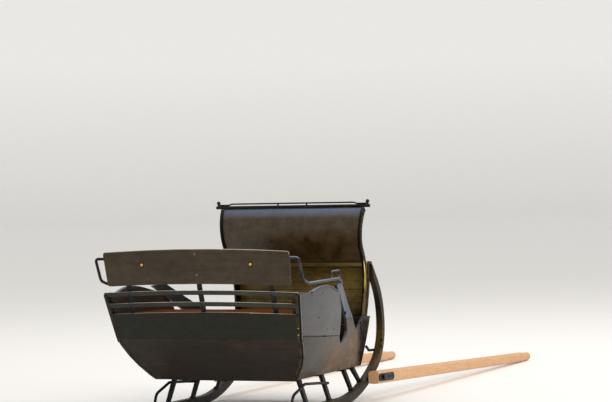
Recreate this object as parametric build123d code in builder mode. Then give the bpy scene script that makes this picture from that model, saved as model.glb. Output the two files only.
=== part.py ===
from build123d import *
import os
from math import asin, atan, cos, degrees, hypot, radians, sin

os.makedirs("parts", exist_ok=True)

# A one horse sleigh with a boat shaped body, standing parked.
# X points to the right, Y forward and Z up, in millimetres.
# Stations are lengths along Y, counted forward from the stern's top rail.

# Body shell
body_bottom_z = 176
body_top_z = 640
board_t = 14
floor_t = 16
bilge_z = 280
flat_z = 408
stern_low_half = 362
stern_bilge_half = 433
stern_mid_half = 470
stern_top_half = 503
front_low_half = 352
front_bilge_half = 363
front_mid_half = 373
front_top_half = 390
shell_start_y = -60
taper_start_y = 500
taper_end_y = 1100
shell_end_y = 1290

# Stern line in side view, from below the floor up to the top of the backrest
stern_foot = (305, 140)
stern_knuckle = (83, 386)
stern_bend = (-7, 631)
back_lean = 12
back_top_z = 820

# Stern boards, rails and backrest
camber = 11
upper_board_top_z = 507
rail_h = 22
lower_rail_top_z = 557
upper_rail_top_z = 612
back_bottom_z = 642
back_h = 164
back_low_inset = 29
back_top_inset = 21
back_corner_r = 14
post_w = 24
post_t = 8
post_bottom_z = 440
post_top_z = 785
post_spacing = 370
corner_post_w = 26
corner_post_d = 30

# Side boards
seam_rear_z = 405
seam_front = (688, 364)
side_rear_z = 612
side_dip = (136, 603)
side_crown = (290, 629)
side_shoulder = (440, 614)
side_front_top = (600, 579)
side_front_bulge = (665, 500)
slot_bottom = (780, 320)
slot_front = (878, 378)
tongue_rear = (831, 437)
tongue_front = (999, 437)
entry_curve = (1047, 394)
entry_low = (1108, 357)
entry_end = (1185, 424)
stay_top_rear = (506, 620)
stay_top_front = (612, 631)

# Seat and floor
seat_top_z = 500
seat_t = 22
seat_front_y = 556
seat_panel_y = 520
seat_panel_t = 18
floor_board_count = 4
floor_gap = 3

# Dash: the rear edge of its ribs in side view is a chain of three tangent arcs
dash_foot_y = 1113
dash_foot_lean = 32.6
dash_belly_r = 745
dash_waist_r = 255
dash_waist_turn = 41
dash_flare_r = 185
dash_flare_turn = 81
rib_w = 16
rib_slim_d = 30
rib_deep_d = 52
rib_shoulder_z = 700
dash_low_half = 338
dash_top_half = 402
dash_sheet_set = 6
dash_sheet_t = 8
dash_board_t = 14
dash_board_joints = (290, 380, 508, 559, 672)
joint_gap = 2
ledge_z = 700
ledge_t = 18
rod_r = 8
rod_over = 24
knob_set = 12
knob_r = 10
knob_pin_r = 6
knob_rise = 33
gallery_r = 4
gallery_rise = 18
gallery_bend = 12
gallery_half = 338
gallery_foot_half = 356
gallery_post_x = 80

# Runners with their steel shoes
runner_x = 377.5
runner_w = 36
runner_h = 40
shoe_w = 30
shoe_t = 5
runner_tail_y = 170
bend_low_r = 967
bend_low_turn = 33
bend_ahead = 214
bend_front_r = 250
bend_front_turn = 52
horn_r = 370
horn_turn = 43
horn_end = 125
horn_taper = 3
horn_taper_z = 250
horn_tip_w = 26

# Iron hoops, braces and rails
hoop_rear_y = 410
hoop_seat_y = 700
hoop_step_y = 1000
hoop_dash_ahead = 5
hoop_w = 30
hoop_t = 14
hoop_slant_t = 15
hoop_top_half = 336
hoop_foot_w = 24
hoop_foot_set = 8
hoop_foot_t = 7
brace_r = 7
brace_x = 360
rear_brace_path = ((232, 42), (262, 106), (412, 149), (590, 138), (712, 128))
rear_brace_bends = (45, 60, 90)
horn_brace_path = ((1250, 268), (1285, 246), (1360, 243))
horn_brace_bend = 30
horn_brace_x = 360
arm_r = 7
arm_side_gap = 14
arm_start = (-33, 775)
arm_low = (20, 668)
arm_run = (90, 650)
arm_end = (470, 654)
arm_bends = (16, 45, 30, 30)
loop_r = 4
loop_rear_y = 384
loop_front_y = 480
loop_rise = 39
loop_bend = 12

# Shafts, their butt irons and hinge pins
shaft_length = 2610
shaft_butt_w = 56
shaft_butt_h = 64
shaft_mid_w = 50
shaft_mid_h = 56
shaft_butt_corner = 14
shaft_mid_corner = 20
shaft_tip_r = 24
shaft_tip_length = 130
shaft_behind_pin = 60
shaft_side_gap = 5
iron_t = 4
iron_length = 220
iron_h = 40
pin_ahead = 102
pin_inset = 20
pin_r = 9
pin_fit = 0.1
pin_head_r = 15
pin_head_t = 8
pin_end_gap = 3

# Worked out values
back_rise = back_top_z - stern_bend[1]
crest_y = stern_bend[0] - back_rise * sin(radians(back_lean)) / cos(radians(back_lean))
stern_line = (stern_foot, stern_knuckle, stern_bend, (crest_y, back_top_z))
bend_end_y = dash_foot_y + bend_ahead
bend_start_y = bend_end_y - bend_low_r * sin(radians(bend_low_turn))
pin_y = dash_foot_y + pin_ahead
pin_z = bend_low_r - ((bend_low_r - pin_inset) ** 2 - (pin_y - bend_start_y) ** 2) ** 0.5
hoop_dash_y = dash_foot_y + hoop_dash_ahead
tip_reach = shaft_length - shaft_behind_pin
shaft_dip = degrees(asin(pin_z / hypot(tip_reach, shaft_tip_r)) - atan(shaft_tip_r / tip_reach))
front_y = (
    pin_y
    + tip_reach * cos(radians(shaft_dip))
    + shaft_tip_r * sin(radians(shaft_dip))
)
middle_y = (crest_y + front_y) / 2
runner_out = runner_x + runner_w / 2
iron_in = runner_out + shaft_side_gap
shaft_in = iron_in + iron_t
shaft_x = shaft_in + shaft_butt_w / 2
iron_out = shaft_in + shaft_butt_w + iron_t
back_low_half = stern_top_half - back_low_inset
back_top_half = stern_top_half - back_top_inset
arm_out = stern_top_half + arm_side_gap + arm_r
hoop_stations = (hoop_rear_y, hoop_seat_y, hoop_step_y, hoop_dash_y)

# Reach of cutting blocks, past the body on every side
reach = 600
long_reach = 4 * shell_end_y
high_z = 2 * back_top_z


def side_view(x):
    """Plane seen from the right: its X is the station, its Y is the height."""
    return Plane(origin=(x, -middle_y, 0), x_dir=(0, 1, 0), z_dir=(1, 0, 0))


def rear_view(y):
    """Plane seen from behind, at station y: extrude by a negative amount to go forward."""
    return Plane(origin=(0, y - middle_y, 0), x_dir=(1, 0, 0), z_dir=(0, -1, 0))


def plan_view(z):
    """Level plane at height z: its Y is the station."""
    return Plane(origin=(0, -middle_y, z))


def save(piece, name):
    piece.label = name
    export_step(piece, f"parts/{name}.step")


def save_pair(piece, name):
    save(mirror(piece, about=Plane.YZ), f"{name}_left")
    save(piece, f"{name}_right")


def shifted(points, distance):
    """The line through points moved forward and up by distance, with mitred corners."""
    normals = []
    for (y0, z0), (y1, z1) in zip(points, points[1:]):
        length = hypot(y1 - y0, z1 - z0)
        normals.append(((z1 - z0) / length, (y0 - y1) / length))
    moved = []
    for index, (y, z) in enumerate(points):
        before = normals[max(index - 1, 0)]
        after = normals[min(index, len(normals) - 1)]
        scale = distance / (1 + before[0] * after[0] + before[1] * after[1])
        moved.append((y + (before[0] + after[0]) * scale, z + (before[1] + after[1]) * scale))
    return moved


def at_height(points, height):
    """Station of the line through points at a height."""
    for (y0, z0), (y1, z1) in zip(points, points[1:]):
        if z0 <= height <= z1:
            return y0 + (y1 - y0) * (height - z0) / (z1 - z0)
    raise ValueError("the line does not reach this height")


def band(path, near, far, side):
    """Flat face between two lines that run beside an arc path."""
    rims = [path if gap == 0 else path.offset_2d(gap, side=side, closed=False) for gap in (near, far)]
    ends = [rim @ 0 for rim in rims] + [rim @ 1 for rim in rims]
    if (ends[0] - ends[1]).length > (ends[0] - ends[3]).length:
        ends[1], ends[3] = ends[3], ends[1]
    with BuildSketch() as flat:
        with BuildLine():
            add(rims[0])
            add(rims[1])
            Line(ends[0], ends[1])
            Line(ends[2], ends[3])
        make_face()
    return flat.sketch


def shell_section(station, share, inset):
    """Closed section of the body: share runs from the stern shape to the front shape."""
    low = stern_low_half + (front_low_half - stern_low_half) * share - inset
    bilge = stern_bilge_half + (front_bilge_half - stern_bilge_half) * share - inset
    middle = stern_mid_half + (front_mid_half - stern_mid_half) * share - inset
    top = stern_top_half + (front_top_half - stern_top_half) * share - inset
    with BuildSketch(rear_view(station)) as section:
        with BuildLine():
            ThreePointArc((low, body_bottom_z), (bilge, bilge_z), (middle, flat_z))
            Polyline((middle, flat_z), (top, body_top_z), (-top, body_top_z), (-middle, flat_z))
            ThreePointArc((-middle, flat_z), (-bilge, bilge_z), (-low, body_bottom_z))
            Line((-low, body_bottom_z), (low, body_bottom_z))
        make_face()
    return section.sketch


# Stations of the body's sections and their share of the front shape
taper_middle_y = (taper_start_y + taper_end_y) / 2
shell_stations = (
    (shell_start_y, 0),
    (taper_start_y, 0),
    (taper_middle_y, 0.5),
    (taper_end_y, 1),
    (shell_end_y, 1),
)

with BuildPart() as hull:
    for station, share in shell_stations:
        add(shell_section(station, share, 0))
    loft()

with BuildPart() as hold:
    for station, share in shell_stations:
        add(shell_section(station, share, board_t))
    loft()

with BuildPart() as inner_hold:
    for station, share in shell_stations:
        add(shell_section(station, share, board_t + corner_post_w))
    loft()

with BuildPart() as skin:
    add(hull.part)
    add(hold.part, mode=Mode.SUBTRACT)

inner_stern = shifted(stern_line, board_t)
post_front = shifted(stern_line, board_t + post_t)
corner_front = shifted(stern_line, board_t + corner_post_d)


def side_band(points):
    """Block across the whole body whose side view is the closed line through points."""
    with BuildPart() as block:
        with BuildSketch(side_view(0)):
            with BuildLine():
                Polyline(*points, close=True)
            make_face()
        extrude(amount=reach, both=True)
    return block.part


def cambered(bottom_z, top_z):
    """Block whose lower and upper faces are arched from side to side."""
    half = stern_top_half
    with BuildPart() as block:
        with BuildSketch(rear_view(shell_start_y)):
            with BuildLine():
                ThreePointArc((-half, bottom_z), (0, bottom_z + camber), (half, bottom_z))
                Line((half, bottom_z), (half, top_z))
                ThreePointArc((half, top_z), (0, top_z + camber), (-half, top_z))
                Line((-half, top_z), (-half, bottom_z))
            make_face()
        extrude(amount=-reach)
    return block.part


# Stern: two boards that meet at the knuckle, and two rails over them
upper_stern = side_band([stern_line[1], inner_stern[1], inner_stern[2], stern_line[2]])

with BuildPart() as transom_lower:
    add(side_band([stern_line[0], inner_stern[0], inner_stern[1], stern_line[1]]))
    add(hull.part, mode=Mode.INTERSECT)
save(transom_lower.part, "transom_lower")

with BuildPart() as transom_upper:
    add(cambered(body_bottom_z, upper_board_top_z))
    add(upper_stern, mode=Mode.INTERSECT)
    add(hull.part, mode=Mode.INTERSECT)
save(transom_upper.part, "transom_upper")

stern_rails = (
    # name, height of its top edge at the sides
    ("stern_rail_lower", lower_rail_top_z),
    ("stern_rail_upper", upper_rail_top_z),
)
for rail_name, rail_top_z in stern_rails:
    with BuildPart() as stern_rail:
        add(cambered(rail_top_z - rail_h, rail_top_z))
        add(upper_stern, mode=Mode.INTERSECT)
        add(hull.part, mode=Mode.INTERSECT)
    save(stern_rail.part, rail_name)

# Backrest: one wide board, arched along its top and bottom
with BuildPart() as backrest:
    with BuildSketch(rear_view(shell_start_y)):
        with BuildLine():
            back_top_end_z = back_bottom_z + back_h
            ThreePointArc(
                (-back_low_half, back_bottom_z),
                (0, back_bottom_z + camber),
                (back_low_half, back_bottom_z),
            )
            Line((back_low_half, back_bottom_z), (back_top_half, back_top_end_z))
            ThreePointArc(
                (back_top_half, back_top_end_z),
                (0, back_top_z),
                (-back_top_half, back_top_end_z),
            )
            Line((-back_top_half, back_top_end_z), (-back_low_half, back_bottom_z))
        outline = make_face()
        fillet(outline.vertices(), radius=back_corner_r)
    extrude(amount=-reach)
    back_line = [stern_line[2], inner_stern[2], inner_stern[3], stern_line[3]]
    add(side_band(back_line), mode=Mode.INTERSECT)
save(backrest.part, "backrest")

# Three straps behind the rails carry the backrest
strap_foot = (at_height(inner_stern, post_bottom_z), post_bottom_z)
strap_head = (at_height(inner_stern, post_top_z), post_top_z)
strap_foot_front = (at_height(post_front, post_bottom_z), post_bottom_z)
strap_head_front = (at_height(post_front, post_top_z), post_top_z)
with BuildPart() as back_straps:
    for strap_x in (-post_spacing, 0, post_spacing):
        with BuildSketch(side_view(strap_x)):
            with BuildLine():
                Polyline(
                    strap_foot,
                    inner_stern[2],
                    strap_head,
                    strap_head_front,
                    post_front[2],
                    strap_foot_front,
                    close=True,
                )
            make_face()
    extrude(amount=post_w / 2, both=True)
save(back_straps.part, "back_straps")

# Corner posts stand on the floor inside the stern's corners
floor_top_z = body_bottom_z + floor_t
with BuildPart() as corner_post:
    add(side_band([*inner_stern[:3], *reversed(corner_front[:3])]))
    add(hold.part, mode=Mode.INTERSECT)
    add(inner_hold.part, mode=Mode.SUBTRACT)
    with BuildSketch(plan_view(floor_top_z)):
        with Locations((reach / 2, 0)):
            Rectangle(reach, 2 * reach)
    extrude(amount=side_rear_z - floor_top_z, mode=Mode.INTERSECT)
save_pair(corner_post.part, "corner_post")


def side_piece(outline):
    """The part of the right hand skin inside an outline drawn in side view."""
    with BuildPart() as piece:
        with BuildSketch(side_view(0)):
            add(outline)
        extrude(amount=reach)
        add(skin.part, mode=Mode.INTERSECT)
    return piece.part


# Side: a crowned upper board, a long lower board with the step cut, and a slanting stay
seam_rear = (at_height(inner_stern, seam_rear_z), seam_rear_z)
side_rear_top = (at_height(inner_stern, side_rear_z), side_rear_z)
bottom_rear = (at_height(inner_stern, body_bottom_z), body_bottom_z)

with BuildSketch() as side_upper_outline:
    with BuildLine():
        Polyline(seam_rear, side_rear_top, side_dip)
        ThreePointArc(side_dip, side_crown, side_shoulder)
        Line(side_shoulder, side_front_top)
        ThreePointArc(side_front_top, side_front_bulge, seam_front)
        Line(seam_front, seam_rear)
    make_face()
side_upper = side_piece(side_upper_outline.sketch)
save_pair(side_upper, "side_upper")

with BuildLine() as dash_line:
    foot_angle = radians(90 - dash_foot_lean)
    belly = JernArc(
        start=(dash_foot_y, body_bottom_z),
        tangent=(cos(foot_angle), sin(foot_angle)),
        radius=dash_belly_r,
        arc_size=dash_foot_lean,
    )
    waist = JernArc(start=belly @ 1, tangent=belly % 1, radius=dash_waist_r, arc_size=dash_waist_turn)
    flare = JernArc(start=waist @ 1, tangent=waist % 1, radius=dash_flare_r, arc_size=-dash_flare_turn)
dash_path = dash_line.wire()
dash_depth = rib_deep_d + dash_board_t
rod_centre = dash_path @ 1 + (dash_path % 1) * rod_r
rod_y = rod_centre.X
rod_z = rod_centre.Y
rod_half = dash_top_half + rod_over
knob_x = rod_half - knob_set
knob_top_z = rod_z + knob_rise
gallery_z = rod_z + gallery_rise

with BuildSketch() as side_lower_outline:
    with BuildLine():
        front_y_clear = dash_foot_y + dash_depth + reach
        Polyline(
            seam_front,
            seam_rear,
            inner_stern[1],
            bottom_rear,
            (front_y_clear, body_bottom_z),
            (front_y_clear, entry_end[1]),
            entry_end,
        )
        ThreePointArc(seam_front, slot_bottom, slot_front)
        Line(slot_front, tongue_rear)
        Line(tongue_rear, tongue_front)
        ThreePointArc(tongue_front, entry_curve, entry_low)
        Line(entry_low, entry_end)
    make_face()
    add(band(dash_path, dash_depth, dash_depth + reach / 2, Side.RIGHT), mode=Mode.SUBTRACT)
    with Locations((shell_end_y, body_bottom_z)):
        Rectangle(reach, reach, align=(Align.MIN, Align.CENTER), mode=Mode.SUBTRACT)
side_lower = side_piece(side_lower_outline.sketch)
save_pair(side_lower, "side_lower")

with BuildSketch() as side_stay_outline:
    with BuildLine():
        Polyline(stay_top_rear, stay_top_front, tongue_front, tongue_rear, close=True)
    make_face()
side_stay = side_piece(side_stay_outline.sketch)
with BuildPart() as side_stay_clear:
    add(side_stay)
    add(side_upper, mode=Mode.SUBTRACT)
save_pair(side_stay_clear.part, "side_stay")


def dash_trapezoid(inset):
    """Front view of the dash between its foot and its knobs, narrowed by inset each side."""
    low = dash_low_half - inset
    top = dash_top_half - inset
    with BuildPart() as block:
        with BuildSketch(rear_view(0)):
            with BuildLine():
                Polyline(
                    (-low, body_bottom_z),
                    (low, body_bottom_z),
                    (top, knob_top_z),
                    (-top, knob_top_z),
                    close=True,
                )
            make_face()
        extrude(amount=-long_reach)
    return block.part


def dash_block(near, far, bottom_z, top_z):
    """The band between two lines beside the dash line, across the body, between two heights."""
    with BuildPart() as block:
        with BuildSketch(side_view(0)):
            add(band(dash_path, near, far, Side.RIGHT))
        extrude(amount=reach, both=True)
        with BuildSketch(plan_view(bottom_z)):
            Rectangle(2 * reach, long_reach)
        extrude(amount=top_z - bottom_z, mode=Mode.INTERSECT)
    return block.part


# Dash: two curved ribs, lower boards on their front, a ledge and a bent upper sheet
with BuildPart() as dash_rib:
    add(dash_block(0, rib_slim_d, floor_top_z, high_z))
    add(dash_block(0, rib_deep_d, floor_top_z, rib_shoulder_z))
    add(dash_trapezoid(0), mode=Mode.INTERSECT)
    add(dash_trapezoid(rib_w), mode=Mode.SUBTRACT)
    add(side_lower, mode=Mode.SUBTRACT)
    split(bisect_by=Plane.YZ, keep=Keep.TOP)
save_pair(dash_rib.part, "dash_rib")

with BuildPart() as dash_boards:
    add(dash_block(rib_deep_d, dash_depth, body_bottom_z, rib_shoulder_z))
    add(dash_trapezoid(0), mode=Mode.INTERSECT)
    for joint_z in dash_board_joints:
        with BuildSketch(plan_view(joint_z - joint_gap / 2)):
            Rectangle(2 * reach, long_reach)
        extrude(amount=joint_gap, mode=Mode.SUBTRACT)
    add(side_lower, mode=Mode.SUBTRACT)
    add(mirror(side_lower, about=Plane.YZ), mode=Mode.SUBTRACT)
save(dash_boards.part, "dash_boards")

with BuildPart() as dash_ledge:
    add(dash_block(0, rib_deep_d, ledge_z - ledge_t, ledge_z))
    add(dash_trapezoid(rib_w), mode=Mode.INTERSECT)
save(dash_ledge.part, "dash_ledge")

with BuildPart() as dash_sheet:
    add(dash_block(dash_sheet_set, dash_sheet_set + dash_sheet_t, ledge_z, high_z))
    add(dash_trapezoid(rib_w), mode=Mode.INTERSECT)
save(dash_sheet.part, "dash_sheet")

# Top rod with a knobbed pin at each end, and the rein rail over it
with BuildPart() as dash_rod:
    with BuildSketch(side_view(-rod_half)):
        with Locations((rod_y, rod_z)):
            Circle(rod_r)
    extrude(amount=2 * rod_half)
    for knob_side in (-knob_x, knob_x):
        with BuildSketch(plan_view(rod_z)):
            with Locations((knob_side, rod_y)):
                Circle(knob_pin_r)
        extrude(amount=knob_top_z - knob_r - rod_z)
        with Locations((knob_side, rod_y - middle_y, knob_top_z - knob_r)):
            Sphere(knob_r)
save(dash_rod.part, "dash_rod")

with BuildPart() as rein_rail:
    foot_z = rod_z + rod_r + gallery_r
    with BuildLine(rear_view(rod_y)) as rail_line:
        FilletPolyline(
            (-knob_x + rod_r, foot_z),
            (-gallery_foot_half, foot_z),
            (-gallery_half, gallery_z),
            (gallery_half, gallery_z),
            (gallery_foot_half, foot_z),
            (knob_x - rod_r, foot_z),
            radius=gallery_bend,
        )
    with BuildSketch(Plane(origin=rail_line.line @ 0, z_dir=rail_line.line % 0)):
        Circle(gallery_r)
    sweep()
    for post_x in (-gallery_post_x, gallery_post_x):
        with BuildSketch(plan_view(rod_z + rod_r)):
            with Locations((post_x, rod_y)):
                Circle(gallery_r)
        extrude(amount=gallery_z - rod_z - rod_r)
save(rein_rail.part, "rein_rail")

# Floor boards lie inside the sides, from the stern to the dash
floor_front_y = dash_foot_y + rib_deep_d
floor_profile = [
    (at_height(inner_stern, body_bottom_z), body_bottom_z),
    (floor_front_y, body_bottom_z),
    (floor_front_y, floor_top_z),
    (at_height(inner_stern, floor_top_z), floor_top_z),
]
with BuildPart() as floor_boards:
    add(side_band(floor_profile))
    add(hold.part, mode=Mode.INTERSECT)
    with BuildSketch(plan_view(body_bottom_z)):
        for index in range(1, floor_board_count):
            with Locations((front_low_half * (2 * index / floor_board_count - 1), 0)):
                Rectangle(floor_gap, long_reach)
    extrude(amount=floor_t, mode=Mode.SUBTRACT)
save(floor_boards.part, "floor_boards")

# Seat: a board across the body and a panel under its front edge
seat_low_z = seat_top_z - seat_t
seat_profile = [
    (at_height(post_front, seat_low_z), seat_low_z),
    (seat_front_y, seat_low_z),
    (seat_front_y, seat_top_z),
    (at_height(post_front, seat_top_z), seat_top_z),
]
with BuildPart() as seat_board:
    add(side_band(seat_profile))
    add(hold.part, mode=Mode.INTERSECT)
    add(corner_post.part, mode=Mode.SUBTRACT)
    add(mirror(corner_post.part, about=Plane.YZ), mode=Mode.SUBTRACT)
save(seat_board.part, "seat_board")

with BuildPart() as seat_panel:
    with BuildSketch(plan_view(floor_top_z)):
        with Locations((0, seat_panel_y + seat_panel_t / 2)):
            Rectangle(2 * reach, seat_panel_t)
    extrude(amount=seat_low_z - floor_top_z)
    add(hold.part, mode=Mode.INTERSECT)
save(seat_panel.part, "seat_panel")

# Runners: straight on the floor, then three tangent arcs up to the horn
def runner_line(inset, lean):
    """Line at a distance inside the sole, its horn leaning back by an extra angle."""
    with BuildLine() as bent:
        run = Line((runner_tail_y, inset), (bend_start_y, inset))
        low_bend = JernArc(run @ 1, run % 1, bend_low_r - inset, bend_low_turn)
        front_bend = JernArc(low_bend @ 1, low_bend % 1, bend_front_r - inset, bend_front_turn + lean)
        horn_bend = JernArc(front_bend @ 1, front_bend % 1, horn_r - inset, horn_turn)
        Line(horn_bend @ 1, horn_bend @ 1 + (horn_bend % 1) * horn_end)
    return bent.wire()


def between(first, second):
    """Flat face between two open lines that start and end side by side."""
    with BuildSketch() as flat:
        with BuildLine():
            add(first)
            add(second)
            Line(first @ 0, second @ 0)
            Line(first @ 1, second @ 1)
        make_face()
    return flat.sketch


sole_path = runner_line(0, horn_taper)
timber_sole = runner_line(shoe_t, horn_taper)
timber_top = runner_line(shoe_t + runner_h, 0)
horn_top_z = (timber_sole @ 1).Y + runner_h

with BuildPart() as dash_front:
    add(dash_block(0, dash_depth, body_bottom_z, high_z))

# Front view of a runner: its horn narrows towards the tip
with BuildPart() as horn_front:
    with BuildSketch(rear_view(0)):
        with BuildLine():
            Polyline(
                (runner_x - runner_w / 2, 0),
                (runner_x - runner_w / 2, horn_taper_z),
                (runner_x - horn_tip_w / 2, horn_top_z),
                (runner_x + horn_tip_w / 2, horn_top_z),
                (runner_x + runner_w / 2, horn_taper_z),
                (runner_x + runner_w / 2, 0),
                close=True,
            )
        make_face()
    extrude(amount=-long_reach)

with BuildPart() as runner_shoe:
    with BuildSketch(side_view(runner_x)):
        add(between(sole_path, timber_sole))
    extrude(amount=shoe_w / 2, both=True)
    add(horn_front.part, mode=Mode.INTERSECT)
    add(dash_front.part, mode=Mode.SUBTRACT)
save_pair(runner_shoe.part, "runner_shoe")

with BuildPart() as runner:
    with BuildSketch(side_view(runner_x)):
        add(between(timber_sole, timber_top))
    extrude(amount=runner_w / 2, both=True)
    add(horn_front.part, mode=Mode.INTERSECT)
    add(dash_front.part, mode=Mode.SUBTRACT)
    with BuildSketch(side_view(runner_x - runner_w / 2)):
        with Locations((pin_y, pin_z)):
            Circle(pin_r)
    extrude(amount=runner_w, mode=Mode.SUBTRACT)
save_pair(runner.part, "runner")


def runner_top(station):
    """Height of the runner's top face at a station behind the front bend."""
    along = max(station - bend_start_y, 0)
    top_r = bend_low_r - shoe_t - runner_h
    return bend_low_r - (top_r**2 - along**2) ** 0.5


# Iron hoops carry the floor on the runners
for number, station in enumerate(hoop_stations, start=1):
    foot_z = runner_top(station + hoop_w / 2) if station > bend_start_y else runner_top(station)
    low_z = runner_top(station - hoop_w / 2)
    with BuildPart() as hoop:
        with BuildSketch(rear_view(station - hoop_w / 2)):
            with BuildLine() as hoop_line:
                Polyline(
                    (-runner_x, low_z),
                    (-hoop_top_half, body_bottom_z),
                    (hoop_top_half, body_bottom_z),
                    (runner_x, low_z),
                    (runner_x - hoop_slant_t, low_z),
                    (hoop_top_half - hoop_t, body_bottom_z - hoop_t),
                    (-hoop_top_half + hoop_t, body_bottom_z - hoop_t),
                    (-runner_x + hoop_slant_t, low_z),
                    close=True,
                )
            make_face()
        extrude(amount=-hoop_w)
        with BuildSketch(plan_view(low_z)):
            for side in (-1, 1):
                with Locations((side * (runner_x - hoop_foot_set), station)):
                    Rectangle(hoop_foot_w, hoop_w)
        extrude(amount=hoop_foot_t + foot_z - low_z)
        add(runner.part, mode=Mode.SUBTRACT)
        add(mirror(runner.part, about=Plane.YZ), mode=Mode.SUBTRACT)
    save(hoop.part, f"leg_hoop_{number}")


def rod(path_points, radius, bends, x):
    """Round rod along a bent path drawn in side view at x."""
    with BuildPart() as bar:
        with BuildLine(side_view(x)) as bar_line:
            FilletPolyline(*path_points, radius=bends)
        with BuildSketch(Plane(origin=bar_line.line @ 0, z_dir=bar_line.line % 0)):
            Circle(radius)
        sweep()
    return bar.part


with BuildPart() as rear_brace:
    add(rod(rear_brace_path, brace_r, rear_brace_bends, brace_x))
    add(runner.part, mode=Mode.SUBTRACT)
    add(floor_boards.part, mode=Mode.SUBTRACT)
    add(side_lower, mode=Mode.SUBTRACT)
save_pair(rear_brace.part, "rear_brace")

with BuildPart() as horn_brace:
    add(rod(horn_brace_path, brace_r, horn_brace_bend, horn_brace_x))
    add(runner.part, mode=Mode.SUBTRACT)
    add(dash_boards.part, mode=Mode.SUBTRACT)
save_pair(horn_brace.part, "horn_brace")

# Arm rail: out from the backrest, down beside it and forward to the stay
back_share = (arm_start[1] - back_bottom_z) / back_h
arm_back_half = back_low_half + (back_top_half - back_low_half) * back_share
taper_share = (stay_top_front[0] - taper_start_y) / (taper_end_y - taper_start_y)
stay_head_half = stern_top_half + (front_top_half - stern_top_half) * taper_share
loop_top_z = arm_end[1] + loop_rise


def at_station(x, point):
    return (x, point[0] - middle_y, point[1])


with BuildPart() as arm_rail:
    with BuildLine() as arm_line:
        FilletPolyline(
            at_station(arm_back_half, arm_start),
            at_station(arm_out, arm_start),
            at_station(arm_out, arm_low),
            at_station(arm_out, arm_run),
            at_station(arm_out, arm_end),
            at_station(stay_head_half, stay_top_front),
            radius=arm_bends,
        )
    with BuildSketch(Plane(origin=arm_line.line @ 0, z_dir=arm_line.line % 0)):
        Circle(arm_r)
    sweep()
    with BuildLine(side_view(arm_out)) as loop_line:
        FilletPolyline(
            (loop_rear_y, arm_end[1]),
            (loop_rear_y, loop_top_z),
            (loop_front_y, loop_top_z),
            (loop_front_y, arm_end[1]),
            radius=loop_bend,
        )
    with BuildSketch(Plane(origin=loop_line.line @ 0, z_dir=loop_line.line % 0)):
        Circle(loop_r)
    sweep(path=loop_line.line)
    for neighbour in (backrest.part, side_stay, side_upper):
        add(neighbour, mode=Mode.SUBTRACT)
save_pair(arm_rail.part, "arm_rail")

# Hinge pins: fixed in the runners, with a head outside the shaft
with BuildPart() as shaft_pin:
    with BuildSketch(side_view(runner_x - runner_w / 2)):
        with Locations((pin_y, pin_z)):
            Circle(pin_r)
    head_x = iron_out + pin_end_gap
    extrude(amount=head_x - runner_x + runner_w / 2)
    with BuildSketch(side_view(head_x)):
        with Locations((pin_y, pin_z)):
            Circle(pin_head_r)
    extrude(amount=pin_head_t)
save_pair(shaft_pin.part, "shaft_pin")

# Shafts: square in the hand at the butt, round at the tip, lying with their tips on the floor
pin_place = Plane(
    origin=(shaft_x, pin_y - middle_y, pin_z),
    x_dir=(1, 0, 0),
    z_dir=(0, cos(radians(shaft_dip)), -sin(radians(shaft_dip))),
)

with BuildPart() as shaft:
    with BuildSketch(pin_place.offset(-shaft_behind_pin)):
        RectangleRounded(shaft_butt_w, shaft_butt_h, shaft_butt_corner)
    with BuildSketch(pin_place.offset(tip_reach - shaft_tip_length)):
        RectangleRounded(shaft_mid_w, shaft_mid_h, shaft_mid_corner)
    loft()
    with BuildSketch(pin_place.offset(tip_reach - shaft_tip_length)):
        Circle(shaft_tip_r)
    extrude(amount=shaft_tip_length)
    with BuildSketch(side_view(0)):
        with Locations((pin_y, pin_z)):
            Circle(pin_r + pin_fit / 2)
    extrude(amount=reach, mode=Mode.SUBTRACT)

with BuildPart() as shaft_iron:
    for cheek_x in (iron_in, iron_out - iron_t):
        cheek_plane = Plane(
            origin=(cheek_x, pin_y - middle_y, pin_z),
            x_dir=(0, cos(radians(shaft_dip)), -sin(radians(shaft_dip))),
            z_dir=(1, 0, 0),
        )
        with BuildSketch(cheek_plane):
            with Locations((iron_length / 2 - shaft_behind_pin, 0)):
                SlotOverall(iron_length, iron_h)
            Circle(pin_r + pin_fit / 2, mode=Mode.SUBTRACT)
        extrude(amount=iron_t)
save_pair(shaft.part, "shaft")
save_pair(shaft_iron.part, "shaft_iron")
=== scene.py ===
# %% [markdown]
# A light driving sleigh stands parked on a pale studio floor, with its two shafts lowered. Its
# planks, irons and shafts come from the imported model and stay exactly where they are. This
# notebook gives them their paint, wood and iron, adds the nails, bolts and beads that a maker
# would fit last, and sets the light and the camera.
# Lengths are in metres, and a name that ends in MM holds millimetres.

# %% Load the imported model
import bmesh
import bpy
from math import cos, pi, sin
from mathutils import Matrix, Vector
from mathutils.bvhtree import BVHTree


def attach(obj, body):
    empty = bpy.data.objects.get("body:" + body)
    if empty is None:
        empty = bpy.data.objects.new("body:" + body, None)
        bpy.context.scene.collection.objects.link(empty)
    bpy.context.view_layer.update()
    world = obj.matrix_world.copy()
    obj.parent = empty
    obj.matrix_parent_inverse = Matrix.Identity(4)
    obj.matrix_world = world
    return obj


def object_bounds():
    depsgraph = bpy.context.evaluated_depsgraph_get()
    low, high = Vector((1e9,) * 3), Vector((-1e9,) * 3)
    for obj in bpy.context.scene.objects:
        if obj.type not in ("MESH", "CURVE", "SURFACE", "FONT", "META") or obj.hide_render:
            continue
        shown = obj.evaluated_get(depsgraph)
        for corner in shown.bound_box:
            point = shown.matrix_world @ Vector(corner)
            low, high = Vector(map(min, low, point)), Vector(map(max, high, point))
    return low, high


MM = 0.001

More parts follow.
